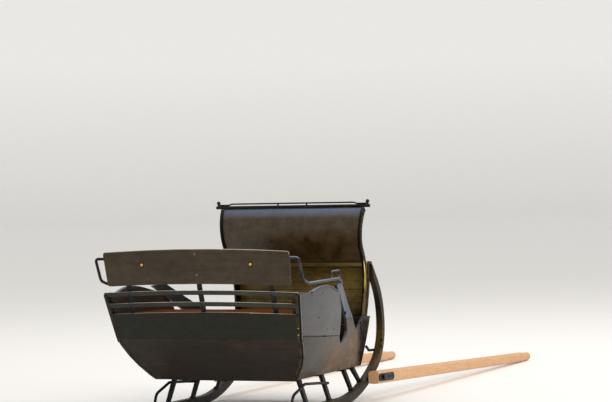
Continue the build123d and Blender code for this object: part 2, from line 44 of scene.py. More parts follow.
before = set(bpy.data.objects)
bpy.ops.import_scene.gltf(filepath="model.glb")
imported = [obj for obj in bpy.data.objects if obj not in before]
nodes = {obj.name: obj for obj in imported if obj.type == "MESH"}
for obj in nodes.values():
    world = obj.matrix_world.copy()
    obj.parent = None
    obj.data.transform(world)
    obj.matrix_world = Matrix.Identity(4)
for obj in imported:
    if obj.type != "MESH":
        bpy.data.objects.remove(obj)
cad_low, cad_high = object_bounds()
print(len(nodes), "pieces, size in metres", [round(v, 3) for v in cad_high - cad_low])

# %% [markdown]
# All lengths along the sleigh are counted forward from the stern's top rail, as a coach builder
# would mark them on a rod. The backrest leans a little behind that rail, so the rail is found from
# the rearmost point of the whole model.

# %% Mark the stern's top rail
BACKREST_OVERHANG_MM = 47

stern_y = cad_low.y + BACKREST_OVERHANG_MM * MM


def station(mm_from_stern):
    """Model place of a station counted forward from the stern's top rail."""
    return stern_y + mm_from_stern * MM


print("the stern's top rail is at y", round(stern_y, 4))

# %% [markdown]
# The camera stands a good way behind the sleigh and to its right, with a long lens, at about chest
# height. A long lens keeps the stern board and the side nearly free of perspective. The three
# turns are kept as plain angles, so the view can be read and changed. The lens is given as the
# picture gives it, in pixels, and turned to millimetres for Blender's sensor.

# %% Set the camera
CAMERA_RIGHT = 4.957
CAMERA_BEHIND = 10.769
CAMERA_UP = 1.187
YAW, PITCH, ROLL = 0.388, 0.013, 0.022
FOCAL_PIXELS = 2514.8
PICTURE_WIDTH = 612
SENSOR_MM = 36

level_ahead = Vector((-sin(YAW), cos(YAW), 0))
level_right = Vector((cos(YAW), sin(YAW), 0))
up = Vector((0, 0, 1))
ahead = level_ahead * cos(PITCH) - up * sin(PITCH)
tilted_up = up * cos(PITCH) + level_ahead * sin(PITCH)
right = level_right * cos(ROLL) - tilted_up * sin(ROLL)
above = tilted_up * cos(ROLL) + level_right * sin(ROLL)

camera_data = bpy.data.cameras.new("camera")
camera_data.lens = FOCAL_PIXELS * SENSOR_MM / PICTURE_WIDTH
camera_data.sensor_width = SENSOR_MM
camera = bpy.data.objects.new("camera", camera_data)
turn = Matrix((right, above, -ahead)).transposed().to_4x4()
camera.matrix_world = Matrix.Translation((CAMERA_RIGHT, stern_y - CAMERA_BEHIND, CAMERA_UP)) @ turn
bpy.context.scene.collection.objects.link(camera)
bpy.context.scene.camera = camera
print("lens", round(camera_data.lens, 1), "mm")

# %% [markdown]
# Paint colours are written as the hex codes that a colour picker gives. Blender wants linear
# light, so one function turns each code into linear values. A second small function adds a shader
# node, sets its options and sets or links its inputs, which keeps each recipe below to one line
# for each step.

# %% Colour and node helpers
def linear(code):
    """Linear colour with full alpha from an sRGB hex code."""
    parts = [int(code[i:i + 2], 16) / 255 for i in (1, 3, 5)]
    return [p / 12.92 if p <= 0.04045 else ((p + 0.055) / 1.055) ** 2.4 for p in parts] + [1]


def add_node(tree, kind, inputs=None, **options):
    """Add one shader node, set its options, then set or link its inputs."""
    made = tree.nodes.new(kind)
    for option, value in options.items():
        setattr(made, option, value)
    for socket, value in (inputs or {}).items():
        if isinstance(value, bpy.types.NodeSocket):
            tree.links.new(value, made.inputs[socket])
        else:
            made.inputs[socket].default_value = value
    return made


def new_material(name):
    """Empty material with its output node; returns the material, its tree and the output."""
    material = bpy.data.materials.new(name)
    material.use_nodes = True
    tree = material.node_tree
    tree.nodes.clear()
    return material, tree, add_node(tree, "ShaderNodeOutputMaterial")


print("near black paint is", [round(v, 3) for v in linear("#2e2f2a")])

# %% [markdown]
# The studio floor is matt paper. It scatters light evenly and has no shine, so the sleigh's shadow
# is all that shows on it. Seen straight on, or in a reflection, the paper also glows a little, more
# so up the wall, and that makes the background pale without any more light on the sleigh.

# %% Mix the paper of the floor
WALL_GLOW = 0.22
FLOOR_GLOW = 0.055
GLOW_FULL_Z = 4.0


def direct_view(tree):
    """One for what the camera, a reflection or glass sees, nothing for light that falls on a surface."""
    path = add_node(tree, "ShaderNodeLightPath").outputs
    seen = path["Is Camera Ray"]
    for ray in ("Is Glossy Ray", "Is Transmission Ray"):
        seen = add_node(tree, "ShaderNodeMath", {0: seen, 1: path[ray]}, operation="MAXIMUM").outputs[0]
    return seen


paper, tree, out = new_material("matt_paper")
paper_coat = add_node(tree, "ShaderNodeBsdfDiffuse", {"Color": linear("#f4f4f4")})
place = add_node(tree, "ShaderNodeTexCoord").outputs["Object"]
height = add_node(tree, "ShaderNodeSeparateXYZ", {0: place}).outputs[2]
raised = add_node(tree, "ShaderNodeMapRange", {
    "Value": height, "From Min": 0, "From Max": GLOW_FULL_Z, "To Min": FLOOR_GLOW, "To Max": WALL_GLOW})
glow = add_node(tree, "ShaderNodeMath", {0: direct_view(tree), 1: raised.outputs[0]}, operation="MULTIPLY")
paper_glow = add_node(tree, "ShaderNodeEmission", {"Color": linear("#ffffff"), "Strength": glow.outputs[0]})
both = add_node(tree, "ShaderNodeAddShader", {0: paper_coat.outputs[0], 1: paper_glow.outputs[0]})
tree.links.new(both.outputs[0], out.inputs["Surface"])
print("paper glows", FLOOR_GLOW, "on the floor and", WALL_GLOW, "on the wall")

# %% [markdown]
# The floor is wide and round and curves up into a low wall, so no horizon or corner shows from any
# side. It is a profile of rings, from the middle out along the floor, round a quarter of a circle
# and straight up, joined ring by ring.

# %% Build the round floor and its wall
FLOOR_RADIUS = 46.0
FLOOR_RINGS = (0.1, 0.3, 0.6)
CURVE_RADIUS = 9.0
CURVE_STEPS = 12
WALL_TOP = 16.0
ROUND_SIDES = 96


def circle(radius, count):
    """X and Y of evenly spaced points on a circle round the origin."""
    return [(radius * cos(2 * pi * k / count), radius * sin(2 * pi * k / count)) for k in range(count)]


profile = [(FLOOR_RADIUS * part, 0.0) for part in FLOOR_RINGS]
for step in range(CURVE_STEPS + 1):
    angle = pi / 2 * step / CURVE_STEPS
    profile.append((FLOOR_RADIUS + CURVE_RADIUS * sin(angle), CURVE_RADIUS * (1 - cos(angle))))
profile.append((FLOOR_RADIUS + CURVE_RADIUS, WALL_TOP))
corners = [(0, 0, 0)]
for radius, z in profile:
    corners += [(x, y, z) for x, y in circle(radius, ROUND_SIDES)]
faces = [(0, 1 + k, 1 + (k + 1) % ROUND_SIDES) for k in range(ROUND_SIDES)]
for row in range(len(profile) - 1):
    inner, outer = 1 + row * ROUND_SIDES, 1 + (row + 1) * ROUND_SIDES
    for k in range(ROUND_SIDES):
        after = (k + 1) % ROUND_SIDES
        faces.append((inner + k, outer + k, outer + after, inner + after))
paper_mesh = bpy.data.meshes.new("studio_paper")
paper_mesh.from_pydata(corners, [], faces)
for face in paper_mesh.polygons:
    face.use_smooth = True
floor = bpy.data.objects.new("studio_paper", paper_mesh)
floor.data.materials.append(paper)
bpy.context.scene.collection.objects.link(floor)
print("paper faces", len(faces))

# %% [markdown]
# Most of the light is an even glow from all round, so each paint reads at about its own colour.
# A large warm lamp on the right makes the sleigh's side the bright face and leaves the stern the
# dark one, and a white lamp overhead rims the upper edges. What a reflection sees of the room is a
# plain pale tone of its own.

# %% Light the studio
GLOW = 0.78
ROOM_SEEN = 0.8
LAMP_AIM = Vector((0, -0.8, 0.5))

world = bpy.data.worlds.new("soft_studio")
bpy.context.scene.world = world
world.use_nodes = True
tree = world.node_tree
tree.nodes.clear()
out = add_node(tree, "ShaderNodeOutputWorld")
lighting = add_node(tree, "ShaderNodeBackground", {"Color": linear("#f4f1ec"), "Strength": GLOW})
shown = add_node(tree, "ShaderNodeBackground", {"Color": linear("#eceef0"), "Strength": ROOM_SEEN})
both = add_node(tree, "ShaderNodeMixShader", {
    0: direct_view(tree), 1: lighting.outputs[0], 2: shown.outputs[0]})
tree.links.new(both.outputs[0], out.inputs["Surface"])

lamps = (
    # name, place, size, watts, colour
    ("key", (7.5, -2.5, 5.0), 4.0, 270, "#fff1de"),
    ("top", (0.0, 3.0, 7.5), 5.0, 180, "#ffffff"),
)
for name, place, size, watts, colour in lamps:
    lamp_data = bpy.data.lights.new(name, "AREA")
    lamp_data.size = size
    lamp_data.energy = watts
    lamp_data.color = linear(colour)[:3]
    lamp = bpy.data.objects.new(name, lamp_data)
    lamp.location = place
    lamp.rotation_euler = (LAMP_AIM - Vector(place)).to_track_quat("-Z", "Y").to_euler()
    bpy.context.scene.collection.objects.link(lamp)
bpy.context.scene.view_settings.view_transform = "Standard"
print(len(lamps), "lamps")

# %% [markdown]
# Paint, wood and iron are all drawn with the same few tools: a cloudy noise that can be stretched
# along the grain, a straight ramp that turns a stretch of that noise into a share, the product of
# two shares, and a blend of two colours. The noise reads the object's own metres, so a pattern of
# so many millimetres has that size on the real plank.

# %% Tools for patterns
def along(axis, long_mm, wide_mm):
    """Pattern repeats in a metre on each axis: long along the named one, narrow across it."""
    return [1000 / (long_mm if name == axis else wide_mm) for name in "XYZ"]


def noise(tree, place, scale, detail, roughness=0.6):
    """Cloudy pattern in the object's own metres, stretched by the three scales."""
    laid = add_node(tree, "ShaderNodeMapping", {"Vector": place, "Scale": scale})
    made = add_node(tree, "ShaderNodeTexNoise", {
        "Vector": laid.outputs[0], "Scale": 1, "Detail": detail, "Roughness": roughness})
    return made.outputs[0]


def ramp(tree, value, low, high, to_low=0.0, to_high=1.0):
    """Straight ramp from low to high, held at both ends."""
    made = add_node(tree, "ShaderNodeMapRange", {
        "Value": value, "From Min": low, "From Max": high, "To Min": to_low, "To Max": to_high})
    return made.outputs[0]


def times(tree, first, second):
    """Product of two shares."""
    return add_node(tree, "ShaderNodeMath", {0: first, 1: second}, operation="MULTIPLY").outputs[0]


def blend(tree, share, first, second):
    """Colour that goes from the first to the second by a share."""
    return add_node(tree, "ShaderNodeMix", {0: share, 6: first, 7: second}, data_type="RGBA").outputs[2]


print("grain along X repeats", [round(v, 1) for v in along("X", 260, 7)], "times in a metre")

# %% [markdown]
# The body is pine plank under linseed oil paint. Brushed oil paint keeps the plank's grain as fine
# ridges, dries to a satin skin and, after years outside, fades to grey and brown in patches and
# chips to the wood on its edges. Faces that look up get a paler tone in patches, which is a painted
# sky reflection. One recipe serves every plank: two tones of paint in broad patches, a mottle of
# small blotches, long grain in the shade and the bump, a further tone with a ragged border where
# use has scoured it or where shade or a highlight is painted in, and chips that let the bare wood
# through. Scoured paint is dusty, so it loses its shine as well, and so does paint under painted
# shade or a painted highlight.

# %% Recipe for oil painted plank
# Each pattern: millimetres along the grain and across it, detail, roughness of the noise.
# Real grain lines lie about 2 mm apart. They are drawn 7 mm wide, so that they show at all.
GRAIN = (260, 7, 5, 0.6)
PATCHES = (418, 190, 6, 0.7)
CHIPS = (35, 14, 8, 0.75)
BLOTCHES = (64, 32, 5, 0.7)
RAGGED_MM = 22
GRAIN_DEPTH_MM, PATCH_DEPTH_MM = 0.4, 1.2
GRAIN_RELIEF, PATCH_RELIEF = 2.5, 0.5
MOTTLE_GAIN = 2.0
BARE_PINE = "#b99b74"
PAINT_IOR = 1.5
# Stretches of a noise, or of a direction, over which one tone gives way to the next
WORN_BAND = (0.38, 0.66)
MARK_BAND = (0.38, 0.56)
WIDE_BAND = (0.3, 0.7)
STREAK_BAND = (0.3, 0.72)
# Patches over which the painted sky reflection on upward faces comes and goes
SKY_SHEEN_BAND, SKY_SHEEN_SHARES = (0.3, 0.6), (0.3, 0.8)
INSIDE_BAND, OUTSIDE_BAND, FRONT_BAND = (-0.01, -0.02), (0.1, 0.2), (0.0, 0.1)
FACE_SKY = (0.45, 0.95)
EDGE_SKY = (0.1, 0.6)
# The chip noise lets wood through above the first value, lowered by the second times the wear
CHIP_NEVER, CHIP_WEAR, CHIP_SOFT = 0.78, 0.42, 0.05
# Scoured paint, and paint under painted shade or a painted highlight, keeps this share of its shine,
# and patches are this much smoother or rougher
MARKED_SHINE = 0.3
SMOOTHER, ROUGHER = 0.08, 0.12


def oil_painted_plank(name, axis, main, worn, wear, roughness, gloss, grain_share, sky_sheen,
                      sky=FACE_SKY, wear_and_light_marks=(), inside=None, outside=None, front=None):
    """Oil paint on pine. wear is the share chipped to wood, gloss how much of the paint's skin is left.

    grain_share is how much the grain shows. The colour given for faces that look up is a painted
    sky reflection, and sky is how far they must tilt up for it. inside is the colour of faces that
    look to the middle of the sleigh, outside of those that look away from it, and front of those
    that look ahead. Each mark is a colour, the Y and Z ranges over which it takes the upper hand,
    and the least share it has there between its patches. The marks are real wear, dirt and rust,
    and also painted shade and painted highlights.
    """
    material, tree, out = new_material(name)
    place = add_node(tree, "ShaderNodeTexCoord")
    here = place.outputs["Object"]
    where = add_node(tree, "ShaderNodeSeparateXYZ", {0: here}).outputs
    facing = add_node(tree, "ShaderNodeSeparateXYZ", {0: place.outputs["Normal"]}).outputs
    grain, patch, chip, blotch = [
        noise(tree, here, along(axis, long_mm, wide_mm), detail, rough)
        for long_mm, wide_mm, detail, rough in (GRAIN, PATCHES, CHIPS, BLOTCHES)]

    colour = blend(tree, ramp(tree, patch, *WORN_BAND), linear(main), linear(worn))
    shine = gloss
    ragged = ramp(tree, blotch, *WIDE_BAND, -RAGGED_MM * MM, RAGGED_MM * MM)
    y, z = [add_node(tree, "ShaderNodeMath", {0: where[i], 1: ragged}).outputs[0] for i in (1, 2)]
    # The marks are real wear, dirt and rust, and also painted shade and painted highlights
    for tone, y_range, z_range, least in wear_and_light_marks:
        share = times(tree, ramp(tree, y, *y_range), ramp(tree, z, *z_range))
        share = times(tree, share, ramp(tree, patch, *MARK_BAND, least, 1))
        colour = blend(tree, share, colour, linear(tone))
        shine = times(tree, shine, ramp(tree, share, 0, 1, 1, MARKED_SHINE))
    outward = times(tree, where[0], facing[0])
    for tone, direction, band in ((inside, outward, INSIDE_BAND), (outside, outward, OUTSIDE_BAND),
                                  (front, facing[1], FRONT_BAND)):
        if tone:
            colour = blend(tree, ramp(tree, direction, *band), colour, linear(tone))
    # Faces that look up get a paler tone in patches: a painted sky reflection
    sky_lit = times(tree, ramp(tree, facing[2], *sky), ramp(tree, patch, *SKY_SHEEN_BAND, *SKY_SHEEN_SHARES))
    colour = blend(tree, sky_lit, colour, linear(sky_sheen))

    mottle = MOTTLE_GAIN * grain_share
    shade = times(tree, ramp(tree, grain, *STREAK_BAND, 1 - grain_share, 1 + grain_share),
                  ramp(tree, blotch, *WIDE_BAND, 1 - mottle, 1 + mottle))
    shaded = add_node(tree, "ShaderNodeMix", {0: 1.0, 6: colour, 7: shade},
                      data_type="RGBA", blend_type="MULTIPLY").outputs[2]
    chip_from = CHIP_NEVER - CHIP_WEAR * wear
    colour = blend(tree, ramp(tree, chip, chip_from, chip_from + CHIP_SOFT), shaded, linear(BARE_PINE))

    fine = add_node(tree, "ShaderNodeBump", {
        "Strength": min(1.0, GRAIN_RELIEF * grain_share), "Distance": GRAIN_DEPTH_MM * MM,
        "Height": grain})
    broad = add_node(tree, "ShaderNodeBump", {
        "Strength": PATCH_RELIEF, "Distance": PATCH_DEPTH_MM * MM, "Height": patch,
        "Normal": fine.outputs[0]})
    skin = add_node(tree, "ShaderNodeBsdfPrincipled", {
        "Base Color": colour, "IOR": PAINT_IOR, "Specular IOR Level": shine, "Normal": broad.outputs[0],
        "Roughness": ramp(tree, patch, *WIDE_BAND, roughness - SMOOTHER, roughness + ROUGHER)})
    tree.links.new(skin.outputs[0], out.inputs["Surface"])
    return material


print("grain", GRAIN[1], "mm wide, patches", PATCHES[1], "mm, blotches", BLOTCHES[1], "mm")

# %% [markdown]
# Old paint isn't one colour, and some of these marks are painted light and shade. The low sides
# grow browner towards the front, the front of each side and the foot of the dash are darkened as
# painted shade, rust runs down below the arm rail's foot, and the rear edge of the dash's rib
# carries a painted highlight, a thin yellow line beside a paler olive band. Each of these marks is
# a tone with the stretch of the sleigh where it takes over. A range gives where the mark begins
# and then where it is full, in the model's metres.

# %% Marks of use
ALL_LENGTHS = (-3, -2)
ALL_HEIGHTS = (-1, 0)
# Each mark: tone, range along Y, range along Z, least share between its patches
# Browner low down and towards the front
LOW_FRONT_BROWN = ("#75614f", (-1.66, -1.20), (0.47, 0.30), 0.15)
# Painted shade: the front of each side is darkened to near black
FRONT_SHADE = ("#100d0a", (-0.770, -0.690), ALL_HEIGHTS, 0.4)
RUST_RUN = ("#38220c", (-1.272, -1.256), (0.51, 0.54), 0.8)
# Painted shade: the boards of the dash darken towards their foot
DASH_FOOT_SHADE = ("#110c05", ALL_LENGTHS, (0.53, 0.42), 0.6)
# Painted highlight of sunlight on the rib's rear edge: a paler olive band on the face, a thin yellow line on
# the rounded edge, and a dark olive end below it
RIB_FACE_HIGHLIGHT = ("#6e5d30", (-0.638, -0.628), (0.71, 0.66), 0.4)
RIB_EDGE_HIGHLIGHT = ("#f2dd7c", (-0.610, -0.622), (0.71, 0.69), 0.6)
RIB_HIGHLIGHT_END = ("#3d3319", ALL_LENGTHS, (0.60, 0.54), 0.8)
RIB_FRONT = ("#1f1a10", (-0.614, -0.604), ALL_HEIGHTS, 1)
HORN_WEAR = ("#5a4622", (-0.66, -0.60), (0.50, 0.30), 0.3)

INSIDE_STAIN = "#21140d"
# Inner faces of the stay: darker, without its painted sky reflection
STAY_BACK = "#1d2126"
RIB_BLACK = "#0f0b08"
DASH_FRONT = "#1c1a15"
BOARD_ENDS = "#17120a"
marks = {
    "side_paint": {"wear_and_light_marks": (RUST_RUN,), "inside": INSIDE_STAIN},
    "side_low_paint": {"wear_and_light_marks": (LOW_FRONT_BROWN, FRONT_SHADE), "inside": INSIDE_STAIN},
    "stay_paint": {"inside": STAY_BACK},
    "dash_paint": {"wear_and_light_marks": (DASH_FOOT_SHADE,), "outside": BOARD_ENDS, "front": DASH_FRONT},
    "ledge_paint": {"outside": BOARD_ENDS, "front": DASH_FRONT},
    "rib_paint": {"wear_and_light_marks": (RIB_FACE_HIGHLIGHT, RIB_FRONT), "inside": RIB_BLACK},
    "rib_worn_edge": {"wear_and_light_marks": (RIB_EDGE_HIGHLIGHT, RIB_HIGHLIGHT_END), "inside": RIB_BLACK},
    "runner_paint": {"wear_and_light_marks": (HORN_WEAR,)},
}
print(len(marks), "paints have marks of use")

# %% [markdown]
# Every paint is mixed twice: once for the faces of a plank and once, with more wear and a paler
# painted highlight where the edge looks up, for its edges, where hands and weather reach it first.
# The shares of gloss stay well below a fresh paint's, because dust has settled in the skin.

# %% Paints for the planks
# Paler tones painted on faces that look up: a painted sky reflection
BLUE_SKY_SHEEN = "#6a7486"
TAN_SKY_SHEEN = "#857a64"
PALE_SKY_SHEEN = "#b3a283"
BROWN_SKY_SHEEN = "#4a3f30"
# Paler tones for the upper edges: a painted highlight along them
CREAM_EDGE = "#efe0b8"
OLIVE_EDGE = "#e6dfbc"
DASH_EDGE = "#8d8250"
DUSTY = 0.28

planks = (
    # name, grain axis, paint, worn paint, wear, edge wear, roughness, gloss, grain, painted sky reflection,
    # painted edge highlight
    # Upper transom board, green black and even, since the backrest shelters it
    ("stern_paint", "X", "#181911", "#202118", 0.06, 0.2, 0.5, DUSTY, 0.12, TAN_SKY_SHEEN, OLIVE_EDGE),
    # Lower transom board, brown black, as road dirt has stained it
    ("stern_low_paint", "X", "#221a12", "#30261b", 0.10, 0.3, 0.5, DUSTY, 0.18, BLUE_SKY_SHEEN, BROWN_SKY_SHEEN),
    # Rails of the stern, olive, with a light painted highlight along the top edge
    ("stern_rail_paint", "X", "#26261d", "#3a392f", 0.15, 0.2, 0.45, DUSTY, 0.12, TAN_SKY_SHEEN, OLIVE_EDGE),
    # Backrest, faded to a dull brown, its top edge worn to cream wood in chips, with a painted highlight
    # along it
    ("backrest_paint", "X", "#372d20", "#483e2f", 0.10, 0.45, 0.5, DUSTY, 0.14, PALE_SKY_SHEEN, CREAM_EDGE),
    # Upper side board, neutral grey and smooth, the palest paint of the body; its grey is partly a
    # painted sky reflection on the satin paint
    ("side_paint", "Y", "#434344", "#525356", 0.10, 0.15, 0.4, DUSTY, 0.08, BLUE_SKY_SHEEN, BLUE_SKY_SHEEN),
    # Lower side board, the same grey, browner low down towards the front
    ("side_low_paint", "Y", "#2c2c2a", "#454038", 0.18, 0.2, 0.42, 0.26, 0.18, BLUE_SKY_SHEEN, BLUE_SKY_SHEEN),
    # Slanting stay, a blue grey that is a painted sky reflection on its dark paint
    ("stay_paint", "Y", "#2f3a48", "#48586f", 0.12, 0.35, 0.35, DUSTY, 0.08, BLUE_SKY_SHEEN, BLUE_SKY_SHEEN),
    # Corner posts, nearly black, a tone that also stands for painted shade behind the rails
    ("post_paint", "Z", "#191612", "#27221a", 0.12, 0.3, 0.45, DUSTY, 0.12, BLUE_SKY_SHEEN, BROWN_SKY_SHEEN),
    # Boards of the dash, olive yellow under thin black, streaked along the grain
    ("dash_paint", "X", "#54441a", "#826e34", 0.14, 0.2, 0.45, 0.24, 0.20, BLUE_SKY_SHEEN, DASH_EDGE),
    # Ledge of the dash, a lighter olive: a painted highlight where the sun catches it
    ("ledge_paint", "X", "#5c4d27", "#7a6b3c", 0.12, 0.3, 0.45, DUSTY, 0.12, TAN_SKY_SHEEN, DASH_EDGE),
    # Ribs of the dash, black and matt, so that the painted highlight on the rear edge stands out
    ("rib_paint", "Z", "#140f07", "#2c2410", 0.14, 0.2, 0.5, 0.10, 0.12, BLUE_SKY_SHEEN, BROWN_SKY_SHEEN),
    # Runners, black brown timber with little paint left
    ("runner_paint", "Y", "#1b1710", "#352c1d", 0.20, 0.4, 0.45, 0.14, 0.18, BROWN_SKY_SHEEN, BROWN_SKY_SHEEN),
)
paint = {}
for name, axis, main, worn, wear, edge_wear, roughness, gloss, grain_share, sky_sheen, edge_highlight in planks:
    edge_name = name.replace("_paint", "_worn_edge")
    paint[name] = oil_painted_plank(name, axis, main, worn, wear, roughness, gloss, grain_share,
                                    sky_sheen, FACE_SKY, **marks.get(name, {}))
    paint[edge_name] = oil_painted_plank(edge_name, axis, main, worn, edge_wear, roughness, gloss,
                                         grain_share, edge_highlight, EDGE_SKY, **marks.get(edge_name, {}))
print(len(paint), "paints")

# %% [markdown]
# Inside, the seat and the floor are pine boards under an orange brown varnish, and the shafts are
# bare pine, peeled and planed. Planed pine shows its year rings as darker bands. They are drawn
# here from a slow noise, stretched far along the board: its value is multiplied and only the
# fraction kept, so it climbs and drops like the cut rings do. Old varnish is nearly matt.

# %% Recipe for varnished and bare pine
RING_MM = 16
SHAFT_RING_MM = 11
RING_TURNS = 9.0
# The slow noise behind the rings is this many ring widths long and wide
DRIFT_LONG, DRIFT_WIDE = 40, 2.2
FIBRE_LONG_MM, FIBRE_WIDE_MM = 120, 1.6
FIBRE_SHARE = 0.4
RING_BAND = (0.2, 0.8)
PLANED_RELIEF = 0.35
PINE_IOR = 1.5


def pine(name, axis, light, dark, roughness, gloss, ring_mm=RING_MM):
    """Planed pine with its rings; gloss is how much of the varnish still shines."""
    material, tree, out = new_material(name)
    here = add_node(tree, "ShaderNodeTexCoord").outputs["Object"]
    drift = noise(tree, here, along(axis, DRIFT_LONG * ring_mm, DRIFT_WIDE * ring_mm), 4)
    rings = add_node(tree, "ShaderNodeMath", {0: times(tree, drift, RING_TURNS)}, operation="FRACT")
    fibre = noise(tree, here, along(axis, FIBRE_LONG_MM, FIBRE_WIDE_MM), 3)
    mixed = add_node(tree, "ShaderNodeMix", {0: FIBRE_SHARE, 2: rings.outputs[0], 3: fibre}).outputs[0]
    colour = blend(tree, ramp(tree, mixed, *RING_BAND), linear(light), linear(dark))
    bump = add_node(tree, "ShaderNodeBump", {
        "Strength": PLANED_RELIEF, "Distance": GRAIN_DEPTH_MM * MM, "Height": mixed})
    skin = add_node(tree, "ShaderNodeBsdfPrincipled", {
        "Base Color": colour, "Roughness": roughness, "IOR": PINE_IOR,
        "Specular IOR Level": gloss, "Normal": bump.outputs[0]})
    tree.links.new(skin.outputs[0], out.inputs["Surface"])
    return material


# Seat: deep orange brown and matt, darkened as painted shade, so it stays a warm dark strip behind
# the stern's rails
varnished = pine("varnished_pine", "X", "#693608", "#432205", 0.8, 0.02)
# Floor: the same varnish, walked thin and paler, with its grain along the sleigh
varnished_long = pine("varnished_pine_long", "Y", "#7a4a20", "#553012", 0.55, 0.2)
# Shafts: pale bare wood with fine rings and a soft sheen from hands
shaft_pine = pine("bare_pine", "Y", "#e4b98f", "#d0a075", 0.6, 0.4, ring_mm=SHAFT_RING_MM)
print("pine finishes", varnished.name, varnished_long.name, shaft_pine.name)

# %% [markdown]
# The hoops, braces and rails are forged bar under black paint. Forging leaves shallow hammer
# marks, and the shine of thin paint on them is painted in as small broken patches of a lighter
# tone. Rust shows in specks. A tone painted on faces that look up stands for the sky's reflection.
# The steel of the shoes, the cast brass of the bolts and the lacquered sheet of the dash are made by
# the same recipe. Bare steel and brass are metals in it, and whatever is covered is paint.

# %% Recipe for forged iron
HAMMER_MM = 9
HAMMER_DEPTH_MM = 0.5
HAMMER_RELIEF = 0.4
# Rust specks are a millimetre or two wide. They are drawn 5 mm wide, so that they show
RUST_MM = 5
SHEEN_MM = 60
SHEEN_BAND = (0.4, 0.62)
TOP_BAND = (0.35, 0.8)
DULL_PATCH = 0.2
# The rust noise shows rust above the first value, lowered by the second times the rust's share
RUST_NEVER, RUST_GROWS, RUST_SOFT = 0.8, 0.4, 0.08


def forged_iron(name, black, sheen, rust, rust_share, roughness,
                metal=0.0, sky=None, front=None, gloss=0.5):
    """Forged bar: rust_share is how much of it has rust specks, gloss how much the paint shines.

    sheen is a lighter tone painted in patches as the paint's shine. sky is a tone painted on faces
    that look up, a painted sky reflection, and front one for faces that look ahead.
    """
    material, tree, out = new_material(name)
    place = add_node(tree, "ShaderNodeTexCoord")
    here = place.outputs["Object"]
    facing = add_node(tree, "ShaderNodeSeparateXYZ", {0: place.outputs["Normal"]}).outputs
    marks_of_hammer = noise(tree, here, [1000 / HAMMER_MM] * 3, 3)
    patch = noise(tree, here, [1000 / SHEEN_MM] * 3, 6, 0.7)
    speck = noise(tree, here, [1000 / RUST_MM] * 3, 5, 0.8)
    colour = blend(tree, ramp(tree, patch, *SHEEN_BAND), linear(black), linear(sheen))
    for tone, direction, band in ((sky, facing[2], TOP_BAND), (front, facing[1], FRONT_BAND)):
        if tone:
            colour = blend(tree, ramp(tree, direction, *band), colour, linear(tone))
    rust_from = RUST_NEVER - RUST_GROWS * rust_share
    colour = blend(tree, ramp(tree, speck, rust_from, rust_from + RUST_SOFT), colour, linear(rust))
    bump = add_node(tree, "ShaderNodeBump", {
        "Strength": HAMMER_RELIEF, "Distance": HAMMER_DEPTH_MM * MM, "Height": marks_of_hammer})
    settings = {
        "Base Color": colour, "Metallic": metal, "Normal": bump.outputs[0],
        "Roughness": ramp(tree, patch, *WIDE_BAND, roughness, roughness + DULL_PATCH)}
    if not metal:
        settings["IOR"] = PAINT_IOR
        settings["Specular IOR Level"] = gloss
    skin = add_node(tree, "ShaderNodeBsdfPrincipled", settings)
    tree.links.new(skin.outputs[0], out.inputs["Surface"])
    return material


# Black paint on forged bar: nearly black, with broken glints painted in as lighter patches
black_iron = forged_iron("black_painted_iron", "#0c0b0a", "#1c1d1f", "#4f3422", 0.25, 0.35, gloss=0.25)
# Right arm rail, dark iron whose upper side carries a painted pale blue sky reflection
rail_iron = forged_iron("arm_rail_iron", "#171a1f", "#3a434f", "#4f3a2c", 0.15, 0.3,
                        sky="#8a9ab2", gloss=0.3)
# Shoe steel, kept bright by the road, with rust between runs
shoe_steel = forged_iron("worn_shoe_steel", "#6a6663", "#8c8884", "#6b4327", 0.45, 0.35, metal=1.0)
# Cast brass, the only warm bright spots of the stern
brass = forged_iron("cast_brass", "#cda040", "#e6bf5e", "#5d4620", 0.2, 0.28, metal=1.0)
# Lacquered sheet of the dash: brown black with patches of painted sheen, and a painted blue sky
# reflection where it curls up
dash_lacquer = forged_iron("dash_lacquer", "#362810", "#4f3f25", "#1c150a", 0.1, 0.25,
                           sky="#7f93ba", front=DASH_FRONT)
# Flange of the corner straps along the side: flat black that gives no glint
strap_black = forged_iron("strap_flat_black", "#050403", "#0c0a08", "#2c2418", 0.2, 0.6, gloss=0.05)
# Flange on the stern: rubbed to brown metal, with ochre chips that look like a worn gilt line
strap_rubbed = forged_iron("strap_rubbed_iron", "#2c2820", "#454034", "#8d7440", 0.52, 0.55, gloss=0.12)
print("irons ready")

# %% [markdown]
# Each imported piece now gets its finish. A weld and a small bevel go on as modifiers, because no
# real plank or bar has a knife edge, and a rounded edge catches a thin line of light. The bevel
# gives its own faces the second material of the piece. That material is the same paint worn through
# to the wood, with a paler painted highlight where the edge looks up, so paint is lost exactly along
# the edges. Blender by itself makes a bevel no wider than the shortest edge of the mesh allows, so
# that limit is off, and the backrest's round corners are welded a little coarser, so that its bevel
# doesn't fold over there. The left arm rail has plain black paint, while the right one carries a
# painted pale sky reflection on its upper side, so the left one has a row of its own.

# %% Dress the imported pieces
WELD_MM = 0.01
BACKREST_WELD_MM = 4
BEVEL_SEGMENTS = 2
SHARP_ANGLE = pi / 5

